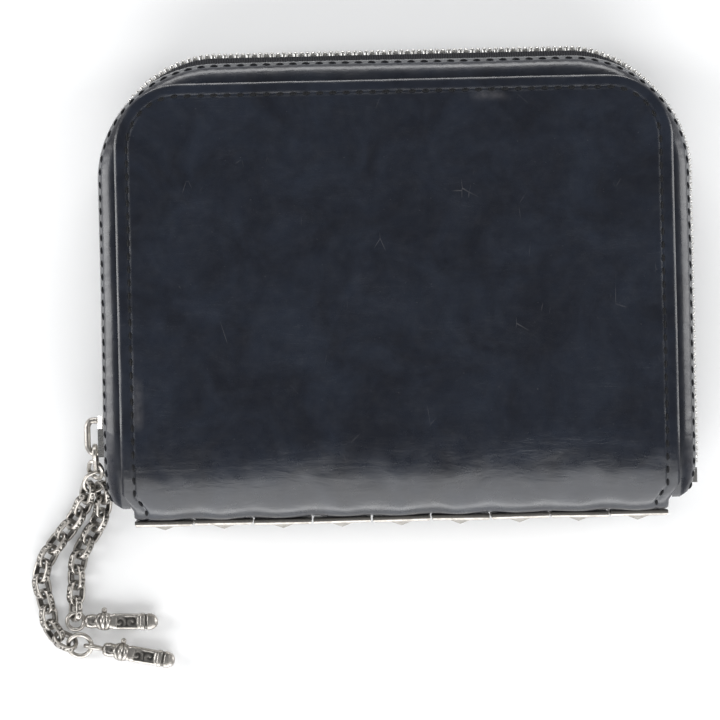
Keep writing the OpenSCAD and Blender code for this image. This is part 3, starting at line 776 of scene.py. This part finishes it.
def plate_shape(width, height, thick, stud, stud_h):
    """A plate with rounded edges and a low four-sided point. X across, Y thickness, Z height."""
    half = steps((stud / 2, 0.25), (width / 2 - 0.5, 0.7), (width / 2, 0.1))
    tall = steps((stud / 2, 0.25), (height / 2 - 0.5, 0.7), (height / 2, 0.1))
    x, z = np.concatenate([-half[:0:-1], half]), np.concatenate([-tall[:0:-1], tall])
    grid_z, grid_x = np.meshgrid(z, x, indexing="ij")
    e = np.minimum(width / 2 - np.abs(grid_x), height / 2 - np.abs(grid_z))
    rise = thick - 0.42 * (1 - np.sqrt(1 - (1 - np.clip(e / 0.42, 0, 1)) ** 2))
    point = 1 - np.maximum(np.abs(grid_x), np.abs(grid_z)) / (stud / 2)
    rise = rise + stud_h * np.clip(point, 0, 1) - 0.12 * np.exp(-(((point + 0.1) / 0.07) ** 2))
    front = np.stack([grid_x, -rise, grid_z], axis=2)
    rows, cols = grid_x.shape
    verts = front.reshape(-1, 3)
    rim = [*range(cols), *(cols * (i + 1) - 1 for i in range(1, rows))]
    rim += [*range(rows * cols - 2, (rows - 1) * cols - 1, -1), *(cols * i for i in range(rows - 2, 0, -1))]
    base = verts[rim] * np.array([1, 0, 1])
    faces = grid_faces(rows, cols)
    first = len(verts)
    count = len(rim)
    for k in range(count):
        after = (k + 1) % count
        faces.append((rim[k], first + k, first + after, rim[after]))
    faces.append(tuple(first + k for k in range(count)))
    groove = np.clip(np.exp(-(((point + 0.1) / 0.1) ** 2)), 0, 1) * 0.75
    # Darker marks: oxide in the groove round the point, and painted shade on the plate's sides, darkest at
    # the back where they meet the hide.
    wear_and_painted_light = np.concatenate([groove.ravel(), np.full(count, 0.85)])
    return np.concatenate([verts, base]), faces, wear_and_painted_light


def spine_plates():
    """The row of plates, each set a little off square and off the hide."""
    count, gap = PLATE_COUNT, 0.4
    pitch = (2 * PLATES_W + gap) / count
    for i in range(count):
        verts, faces, wear_and_painted_light = plate_shape(pitch - gap, PLATE_H, thick=1.1, stud=5, stud_h=1.0)
        tilt, lean = random.uniform(-0.7, 0.7), random.uniform(-0.6, 0.6)
        middle = [(i - (count - 1) / 2) * pitch, SPINE_Y - random.uniform(0.02, 0.16), MID_Z]
        verts = verts @ (turn_z(tilt) @ turn_x(lean)).T + middle
        piece = add_mesh(f"plate_{i + 1}", verts, faces, SILVER, wear_and_painted_light, False, True)
        if i == 0:
            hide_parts("spine_plates")
        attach(piece, "spine")


# ---- chain ----

LINK_L, LINK_W = 5.6, 4.4
LINK_THICK, LINK_DEEP = 0.9, 1.35
CHARM_L = 17.0
EYE_R, EYE_WIRE_R = 1.3, 0.45


def scroll(along, across):
    """Relief of running scrolls: height between 0 and 1 at a place on a band."""
    cell = along - np.floor(along)
    x, y = (cell - 0.5) * 2.2, across * (1 - 2 * (np.floor(along) % 2))
    r, a = np.hypot(x, y), np.arctan2(y, x)
    curl = 0.5 + 0.5 * np.cos(2 * math.pi * (0.95 * r - a / (2 * math.pi)))
    edge = smooth_step(np.abs(across), 0.72, 0.92)
    return np.maximum(curl * (1 - smooth_step(r, 1.0, 1.3)), edge)


def link_shape(relief=0.14, cells=7):
    """An oval link of flat band with scrolls in relief, long side along X. Also its recesses."""
    thick, deep = LINK_THICK, LINK_DEEP
    side, reach = (LINK_W - thick) / 2, (LINK_L - LINK_W) / 2
    perimeter = 4 * reach + 2 * math.pi * side
    rows, cols = 120, 24
    ring = ring_points(thick / 2, deep / 2, 3.6, cols)
    sections, dark = [], []
    for i in range(rows):
        s = i * perimeter / rows
        centre, out = oval_at(s, reach, side)
        pattern = scroll(np.full(cols, i * cells / rows), np.clip(ring[:, 2] / (deep / 2), -1, 1))
        outside = smooth_step(ring[:, 1] / (thick / 2), 0.6, 0.9)
        inside = smooth_step(-ring[:, 1] / (thick / 2), 0.5, 0.9)
        y = ring[:, 1] - relief * outside * (1 - pattern)
        sections.append(np.stack([centre[0] + out[0] * y, centre[1] + out[1] * y, ring[:, 2]], axis=1))
        dark.append(np.clip(0.85 * outside * (1 - smooth_step(pattern, 0.15, 0.7)) + 0.7 * inside, 0, 0.9))
    verts, faces = loft(sections, wrap=True)
    return verts, faces, np.concatenate(dark)


def oval_at(s, reach, side):
    """Point and outward direction at distance s round an oval with straight sides."""
    bend = math.pi * side
    if s < 2 * reach:
        return (reach - s, side), (0.0, 1.0)
    s -= 2 * reach
    if s < bend:
        a = math.pi / 2 + s / side
        return (side * math.cos(a) - reach, side * math.sin(a)), (math.cos(a), math.sin(a))
    s -= bend
    if s < 2 * reach:
        return (s - reach, -side), (0.0, -1.0)
    a = -math.pi / 2 + (s - 2 * reach) / side
    return (side * math.cos(a) + reach, side * math.sin(a)), (math.cos(a), math.sin(a))


def aim(p, q, roll):
    """Turn and shift that lay a piece drawn along X from p to q, rolled about that line."""
    d = (q - p) / np.linalg.norm(q - p)
    return turn_to(d, UP) @ turn_x(roll), (p + q) / 2


def chain_piece(name, shape, place):
    verts, faces, dark = shape
    turn, shift = place
    piece = add_mesh(name + "_cast", verts @ turn.T + shift, faces, SILVER, dark, closed=True)
    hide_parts(name)
    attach(piece, name)


def strand(kind, count, end_rolls, last):
    """The links of one strand. They roll to one side and the other in turn."""
    for i in range(1, count + 1):
        name = f"{kind}_link_{i}"
        after = f"{kind}_link_{i + 1}" if i < count else last
        roll = {1: end_rolls[0], count: end_rolls[1]}.get(i, 45 if i % 2 else -45)
        chain_piece(name, link_shape(), aim(bearing(name), bearing(after), roll))


def charm_shape(length):
    """Cap with a dark scoop, and a blunt bar with a sunk panel and two bands, along X from its eye."""
    bar_x = 7.4
    stations = [
        # along, half width, half height, squareness
        (1.8, 0.5, 0.5, 2), (2.0, 1.05, 1.0, 2), (2.4, 1.35, 1.2, 2.2), (3.4, 1.5, 1.35, 2.4),
        (4.4, 1.35, 1.25, 2.4), (5.6, 1.2, 1.1, 2),
        (bar_x, 1.5, 1.05, 4), (bar_x + 0.4, 1.62, 1.1, 4.5), (length - 3.6, 1.6, 1.1, 4.5),
        (length - 3.5, 1.75, 1.22, 4), (length - 2.8, 1.75, 1.22, 4), (length - 2.7, 1.55, 1.05, 4),
        (length - 2.2, 1.55, 1.05, 4), (length - 2.1, 1.72, 1.2, 4), (length - 1.3, 1.66, 1.18, 3.4),
        (length - 0.6, 1.35, 1.02, 2.8), (length - 0.2, 0.9, 0.8, 2.4), (length, 0.4, 0.4, 2),
    ]
    x = np.array([s[0] for s in stations])
    fine = np.unique(np.concatenate([x, np.linspace(x[0], x[-1], 110)]))
    sections, dark = [], []
    for at in fine:
        half_y, half_z, power = (np.interp(at, x, [s[k] for s in stations]) for k in (1, 2, 3))
        ring = ring_points(half_y, half_z, power, 60)
        ring[:, 0] = at
        y_share = np.abs(ring[:, 1]) / half_y
        on_bar = smooth_step(at, bar_x + 0.9, bar_x + 1.2) * (1 - smooth_step(at, length - 4.3, length - 4.0))
        on_cap = math.exp(-(((at - 3.4) / 0.9) ** 2))
        on_bar = on_bar * (1 - smooth_step(y_share, 0.62, 0.78))
        on_cap = on_cap * (1 - smooth_step(y_share, 0.3, 0.7))
        panel = on_bar + on_cap
        curl = scroll(np.full(60, at / 2.6), np.clip(ring[:, 1] / 1.2, -1, 1))
        ring[:, 2] *= 1 - 0.2 * panel * (1 - 0.45 * curl)
        between = 1.0 if length - 2.75 < at < length - 2.15 else 0.0
        dark.append(np.clip(0.85 * panel * (1 - 0.5 * curl) + 0.7 * between, 0, 0.9))
        sections.append(ring)
    verts, faces = loft(sections)
    return verts, faces, np.concatenate(dark)


def fluted_bead(x, half_length, radius, lobes=9):
    """A bead whose flutes meet at poles on either side of the charm, with a small ball on one pole."""
    count, ball_count, ball_r = 72, 14, 0.6
    sections, dark = [], []
    for polar in np.linspace(0.06, math.pi - 0.06, 30):
        a = np.arange(count) * 2 * math.pi / count
        flute = np.abs(np.sin(lobes * a / 2)) ** 0.55
        depth = 0.3 * math.sin(polar)
        r = math.sin(polar) * (1 - depth * (1 - flute))
        ring = np.stack([
            x + half_length * r * np.cos(a),
            np.full(count, radius * math.cos(polar) * 0.92),
            radius * r * np.sin(a),
        ], axis=1)
        sections.append(ring)
        dark.append(0.85 * (1 - smooth_step(flute, 0.35, 0.75)))
    body = loft(sections)
    ball = []
    for polar in np.linspace(0.1, math.pi - 0.1, 10):
        r = ball_r * math.sin(polar)
        ring = ring_points(r, r, 2, ball_count)
        y = radius + 0.25 + ball_r * math.cos(polar)
        ball.append(np.stack([x + ring[:, 1], np.full(ball_count, y), ring[:, 2]], axis=1))
    ball_verts, ball_faces = loft(ball)
    return [(*body, np.concatenate(dark)), (ball_verts, ball_faces, np.zeros(len(ball_verts)))]


def joined(shapes):
    """Several (points, faces, recesses) as one."""
    verts, faces, dark = [], [], []
    for shape in shapes:
        first = sum(len(v) for v in verts)
        verts.append(shape[0])
        faces += [tuple(first + v for v in face) for face in shape[1]]
        dark.append(shape[2])
    return np.concatenate(verts), faces, np.concatenate(dark)


def ring_shape(inside_r, wire_r, rows=48, cols=14):
    """A round ring of wire, flat in X and Y."""
    sections = []
    for i in range(rows):
        a = i * 2 * math.pi / rows
        b = np.arange(cols) * 2 * math.pi / cols
        r = inside_r + wire_r + wire_r * np.cos(b)
        sections.append(np.stack([r * math.cos(a), r * math.sin(a), wire_r * np.sin(b)], axis=1))
    return loft(sections, wrap=True)


def rod(name, node, points, radius, body, cols=16, rows=60):
    """A bent round rod with domed ends, swept through the given points."""
    points = np.asarray(points, float)
    run = np.concatenate([[0], np.cumsum(np.linalg.norm(np.diff(points, axis=0), axis=1))])
    along = np.linspace(0, run[-1], rows)
    line = np.stack([np.interp(along, run, points[:, k]) for k in range(3)], axis=1)
    for _ in range(5):
        line[1:-1] = (line[:-2] + 2 * line[1:-1] + line[2:]) / 4
    sections = []
    for i, centre in enumerate(line):
        tangent = line[min(i + 1, rows - 1)] - line[max(i - 1, 0)]
        turn = turn_to(tangent, UP)
        end = min(i, rows - 1 - i) / 3
        r = radius * math.sqrt(min(1.0, 0.25 + end * 0.75))
        ring = ring_points(r, r, 2, cols)
        sections.append(ring @ turn.T + centre)
    verts, faces = loft(sections)
    piece = add_mesh(name, verts, faces, SILVER, closed=True)
    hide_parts(node)
    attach(piece, body)


def bridge():
    """The C-shaped rod on the slider that carries the pull. Its far end stops short of the slider."""
    low, high = corners("slider_bridge")
    r = 0.64
    x_out, x_in = low[0] + r, high[0] + 0.2
    y_low, y_high = low[1] + r, high[1] - r
    points = [(x_in, y_low, MID_Z), (x_out + 0.7, y_low, MID_Z), (x_out, y_low + 1.1, MID_Z),
              (x_out, y_high - 1.0, MID_Z), (x_out + 0.6, y_high, MID_Z), (x_in, y_high, MID_Z)]
    rod("slider_bridge_rod", "slider_bridge", points, r, "slider")


def charm(name, eye, heading, eye_roll):
    """A charm lying on the table, with its eye's middle at eye."""
    eye_verts, eye_faces = ring_shape(EYE_R, EYE_WIRE_R)
    parts = [charm_shape(CHARM_L), *fluted_bead(5.9, 2.25, 2.05)]
    parts.append((eye_verts @ turn_x(eye_roll).T, eye_faces, np.zeros(len(eye_verts))))
    chain_piece(name, joined(parts), (turn_z(heading), eye))


# ---- inside: lining, card pockets and coin pouch ----


def leaf(node, body, up, name, corner=3.0, notch=0.0, thick=0.7, material=None, seed=1.0):
    """A leather leaf in place of a CAD one. up is the side that shows, and notch a thumb notch's radius."""
    low, high = corners(node)
    middle = (low[0] + high[0]) / 2
    half = (high[0] - low[0]) / 2
    far = high[1]
    x_share = np.linspace(-1, 1, 81)
    rows = far - steps((3, 0.3), (far - low[1], 1.2))
    grid = []
    for y in rows:
        d = min(far - y, corner)
        w = half - corner + math.sqrt(max(corner**2 - (corner - d) ** 2, 0.0)) if corner else half
        x = x_share * w
        grid.append(np.stack([x + middle, np.full(81, y), np.zeros(81)], axis=1))
    grid = np.array(grid)
    if notch:
        dip = np.sqrt(np.maximum(notch**2 - grid[..., 0] ** 2, 0)) - 2
        share = (rows - low[1])[:, None] / (far - low[1])
        grid[..., 1] -= np.maximum(dip, 0) * share**6
    e = np.minimum(far - grid[..., 1], half - np.abs(grid[..., 0]))
    face_z = high[2] if up > 0 else low[2]
    height = -0.1 * np.exp(-(((e - 1.6) / 0.35) ** 2)) - 0.05
    height = height + 0.07 * ripple(grid[..., 0], grid[..., 1], 37, seed)
    grid[..., 2] = face_z + up * height
    wear_and_painted_light = 0.9 * (1 - smooth_step(e, 0.1, 0.6))
    faces = grid_faces(*grid.shape[:2], flip=up > 0)
    piece = add_mesh(name, grid.reshape(-1, 3), faces, material or INSIDE, wear_and_painted_light.ravel())
    thicken(piece, thick, 0.15)
    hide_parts(node)
    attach(piece, body)
    return grid


def three_sides(x_out, top_y, low_y):
    """X and Y of a line down one side of a leaf, along its bottom and up the other side."""
    y = np.arange(top_y, low_y, -0.4)
    x = np.arange(x_out, -x_out, -0.5)
    x_line = np.concatenate([np.full(len(y), x_out), x, np.full(len(y), -x_out)])
    return x_line, np.concatenate([y, np.full(len(x), low_y), y[::-1]])


def inside_stitches(name, x, y, z, up, body):
    """A row of fine stitches on a leaf that faces up or down."""
    points = np.stack([x, y, np.broadcast_to(z, x.shape)], axis=1)
    normals = np.tile(up * UP, (len(x), 1))
    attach(stitches(name, points, normals, 2.8, 1.8, 0.24), body)


def pocket_stitches(side, body, up):
    """The row of stitches down each side of the card pockets and under them."""
    leaves = [corners(f"{side}_card_pocket_{i}") for i in (1, 2, 3)]
    deep_low, deep_high = leaves[0]
    inset = 1.6
    x, y = three_sides(deep_high[0] - inset, deep_high[1] - 0.6, deep_low[1] + inset)
    z = np.full(len(x), deep_high[2] if up > 0 else deep_low[2])
    for low, high in leaves[1:]:
        z = np.where(y < high[1], high[2] if up > 0 else low[2], z)
    inside_stitches(f"{side}_pocket_stitches", x, y, z - up * 0.08, up, body)


def inside_of(side, body, up, seed):
    leaf(f"{side}_lining", body, up, f"{side}_lining_leaf", 13.0, thick=0.6, material=LINING, seed=seed)
    for i in (1, 2, 3):
        notch = 9.0 if i == 3 else 0.0
        leaf(f"{side}_card_pocket_{i}", body, up, f"{side}_pocket_{i}", 3.0, notch, seed=seed + i)
    pocket_stitches(side, body, up)


def pouch_gusset():
    """The pleated leather wall round three sides of the coin pouch."""
    low, high = corners("pouch_gusset")
    pleat = 2.6
    corner = 3.0
    path, ins = [], []
    for y in np.arange(high[1], low[1] + corner, -1.0):
        path.append((low[0], y))
        ins.append((1, 0))
    for a in np.linspace(math.pi, 1.5 * math.pi, 9):
        path.append((low[0] + corner + corner * math.cos(a), low[1] + corner + corner * math.sin(a)))
        ins.append((-math.cos(a), -math.sin(a)))
    path += [(-x, y) for x, y in path[::-1]]
    ins += [(-x, y) for x, y in ins[::-1]]
    path, ins = np.array(path), np.array(ins)
    z = np.linspace(low[2], high[2], 9)
    fold = pleat * (1 - np.abs(z - MID_Z) / (high[2] - MID_Z)) + 0.1
    grid = np.concatenate([
        path[:, None, :] + ins[:, None, :] * fold[None, :, None],
        np.broadcast_to(z[None, :, None], (len(path), 9, 1)),
    ], axis=2)
    piece = add_mesh("pouch_pleat", grid.reshape(-1, 3), grid_faces(*grid.shape[:2], flip=True), INSIDE)
    thicken(piece, 0.7, 0.12)
    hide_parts("pouch_gusset")
    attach(piece, "spine")


def pouch_tapes():
    """The two tapes of the coin pouch's zip, each turned in along the pouch's mouth."""
    low, high = corners("pouch_zip_tape")
    x = np.linspace(low[0], high[0], 95)
    for side, up in (("back", -1), ("front", 1)):
        edge_z = low[2] if up < 0 else high[2]
        inner_z = edge_z - up * 1.2
        y = (low[1] + high[1]) / 2
        section = np.array([(y - 5, edge_z), (y - 2, edge_z), (y - 0.3, edge_z - up * 0.1),
                            (y + 0.15, edge_z - up * 0.45), (y + 0.2, inner_z)])
        grid = np.empty((len(x), len(section), 3))
        grid[..., 0] = x[:, None]
        grid[..., 1:] = section[None]
        grid[..., 2] -= up * 0.02
        faces = grid_faces(*grid.shape[:2], flip=up > 0)
        piece = add_mesh(f"pouch_tape_{side}", grid.reshape(-1, 3), faces, TAPE)
        thicken(piece, 0.4, 0)
        if up > 0:
            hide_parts("pouch_zip_tape")
        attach(piece, "spine")


def pouch():
    """The coin pouch: two walls, the tongue that holds it at the spine, its gusset and its tapes."""
    leaf("pouch_back_wall", "spine", -1, "pouch_back_leaf", 4.0, thick=0.85, seed=5.1)
    leaf("pouch_front_wall", "spine", 1, "pouch_front_leaf", 4.0, thick=0.85, seed=6.3)
    leaf("pouch_tongue", "spine", 1, "pouch_tongue_leaf", 0.0, thick=1.1, seed=2.2)
    inset = 1.5
    for name, up in (("back", -1), ("front", 1)):
        low, high = corners(f"pouch_{name}_wall")
        z = (high[2] if up > 0 else low[2]) - up * 0.1
        x_out = high[0] - inset
        x, y = three_sides(x_out, high[1] - 4, low[1] + inset)
        inside_stitches(f"pouch_{name}_stitches", x, y, z, up, "spine")
        x = np.arange(-x_out + 4, x_out - 4, 0.5)
        inside_stitches(f"pouch_{name}_zip_stitches", x, np.full(len(x), high[1] - 3.2), z, up, "spine")
    pouch_gusset()
    pouch_tapes()


# ---- CAD nodes that stay ----


def keep(node, material, edge=0.0):
    """Keeps a CAD node, with a better finish and its sharp edges rounded."""
    piece = frame["nodes"][node]
    if not piece.material_slots:
        piece.data.materials.append(material)
    for place in piece.material_slots:
        place.material = material
    if edge:
        soften(piece, edge, 2)


# ---- stage ----


def stage():
    """A plain pale floor, just under the part."""
    size, half, below = 6, 2500 * MM, 0.2 * MM
    mesh = bpy.data.meshes.new("studio_floor")
    line = np.linspace(-half, half, size)
    verts = [(x, y, -below) for y in line for x in line]
    mesh.from_pydata(verts, [], grid_faces(size, size))
    mesh.materials.append(floor_material())
    ground = bpy.data.objects.new("studio_floor", mesh)
    bpy.context.scene.collection.objects.link(ground)


def soft_light(name, place, size, power):
    """A rectangular lamp, in metres and watts, that faces the wallet."""
    target = (0.0, 0.0, 0.01)
    data = bpy.data.lights.new(name, "AREA")
    data.shape = "RECTANGLE"
    data.size, data.size_y = size
    data.energy = power
    lamp = bpy.data.objects.new(name, data)
    lamp.location = place
    lamp.rotation_euler = (Vector(target) - Vector(place)).to_track_quat("-Z", "Y").to_euler()
    bpy.context.scene.collection.objects.link(lamp)


def lights():
    soft_light("near_window", (0.0, -0.88, 0.58), (1.5, 1.1), 15)
    soft_light("near_table", (0.0, -1.0, 0.17), (1.5, 0.25), 4.5)
    soft_light("left_fill", (-1.05, 0.1, 0.5), (0.4, 1.0), 7.5)
    soft_light("right_fill", (1.1, 0.1, 0.5), (0.4, 1.0), 6)
    soft_light("far_fill", (0.0, 1.1, 0.6), (1.3, 0.35), 10)
    world = bpy.data.worlds.new("studio")
    world.use_nodes = True
    shade = world.node_tree.nodes["Background"]
    shade.inputs["Color"].default_value = (0.95, 0.97, 1.0, 1)
    shade.inputs["Strength"].default_value = 0.2
    bpy.context.scene.world = world
    bpy.context.scene.view_settings.view_transform = "Standard"


def camera():
    """Looks straight down at the closed wallet, turned slightly clockwise."""
    data = bpy.data.cameras.new("camera")
    data.sensor_width = 36
    distance, view_width = 0.9, 0.147
    data.lens = data.sensor_width * distance / view_width
    data.clip_start, data.clip_end = 0.01, 20
    eye = bpy.data.objects.new("camera", data)
    eye.location = (-0.0077, -0.0148, MID_Z * MM + distance)
    eye.rotation_euler = (0, 0, math.radians(-1.3))
    bpy.context.scene.collection.objects.link(eye)
    bpy.context.scene.camera = eye


# ---- build ----

slider_low, slider_high = corners("zip_slider")
slider_y = (slider_low[1] + slider_high[1]) / 2

camera()
lights()
stage()

for side_name, at_back, side_body, first_seed in (
    ("front", False, "front_half", 1.0),
    ("back", True, "back_half", 2.6),
):
    case_leather(f"{side_name}_hide", at_back, first_seed)
    case_stitches(f"{side_name}_hide_stitches", at_back, first_seed)
    side_band(f"{side_name}_band", at_back, side_body)
    band_stitches(f"{side_name}_band_stitches", at_back, side_body)
    zip_tape(f"{side_name}_tape", at_back, side_body)
    zip_teeth(f"{side_name}_teeth", at_back, side_body, TOOTH_PITCH * (0.25 if at_back else 0.75))
    inside_of(side_name, side_body, 1 if at_back else -1, first_seed)

spine_plates()
pouch()
bridge()

strand("outer", 12, (50, -45), "jump_ring")
strand("inner", 9, (52, 62), "inner_charm")
ring_run = bearing("outer_charm") - bearing("jump_ring")
outer_eye = bearing("outer_charm") + ring_run / np.linalg.norm(ring_run) * EYE_R
outer_eye[2] = inner_z = (corners("outer_charm")[0][2] + corners("outer_charm")[1][2]) / 2
inner_eye = bearing("inner_charm") + np.array([0, -1.0, 0])
inner_eye[2] = inner_z
charm("outer_charm", outer_eye, -11, 90)
charm("inner_charm", inner_eye, -1.5, 0)

for kept_node in ("pull_link", "swivel_link"):
    keep(kept_node, SILVER_CAD, 0.12)
for kept_node in ("split_ring", "jump_ring", "plate_rivets"):
    keep(kept_node, SILVER_CAD)
for kept_node, rounding in (
    ("zip_slider", 0.25),
    ("zip_bottom_stop", 0.2),
    ("pouch_slider", 0.15),
    ("pouch_puller", 0.15),
    ("pouch_zip_teeth", 0.12),
):
    keep(kept_node, ZIP_METAL_CAD, rounding)
keep("spine_board", BOARD)
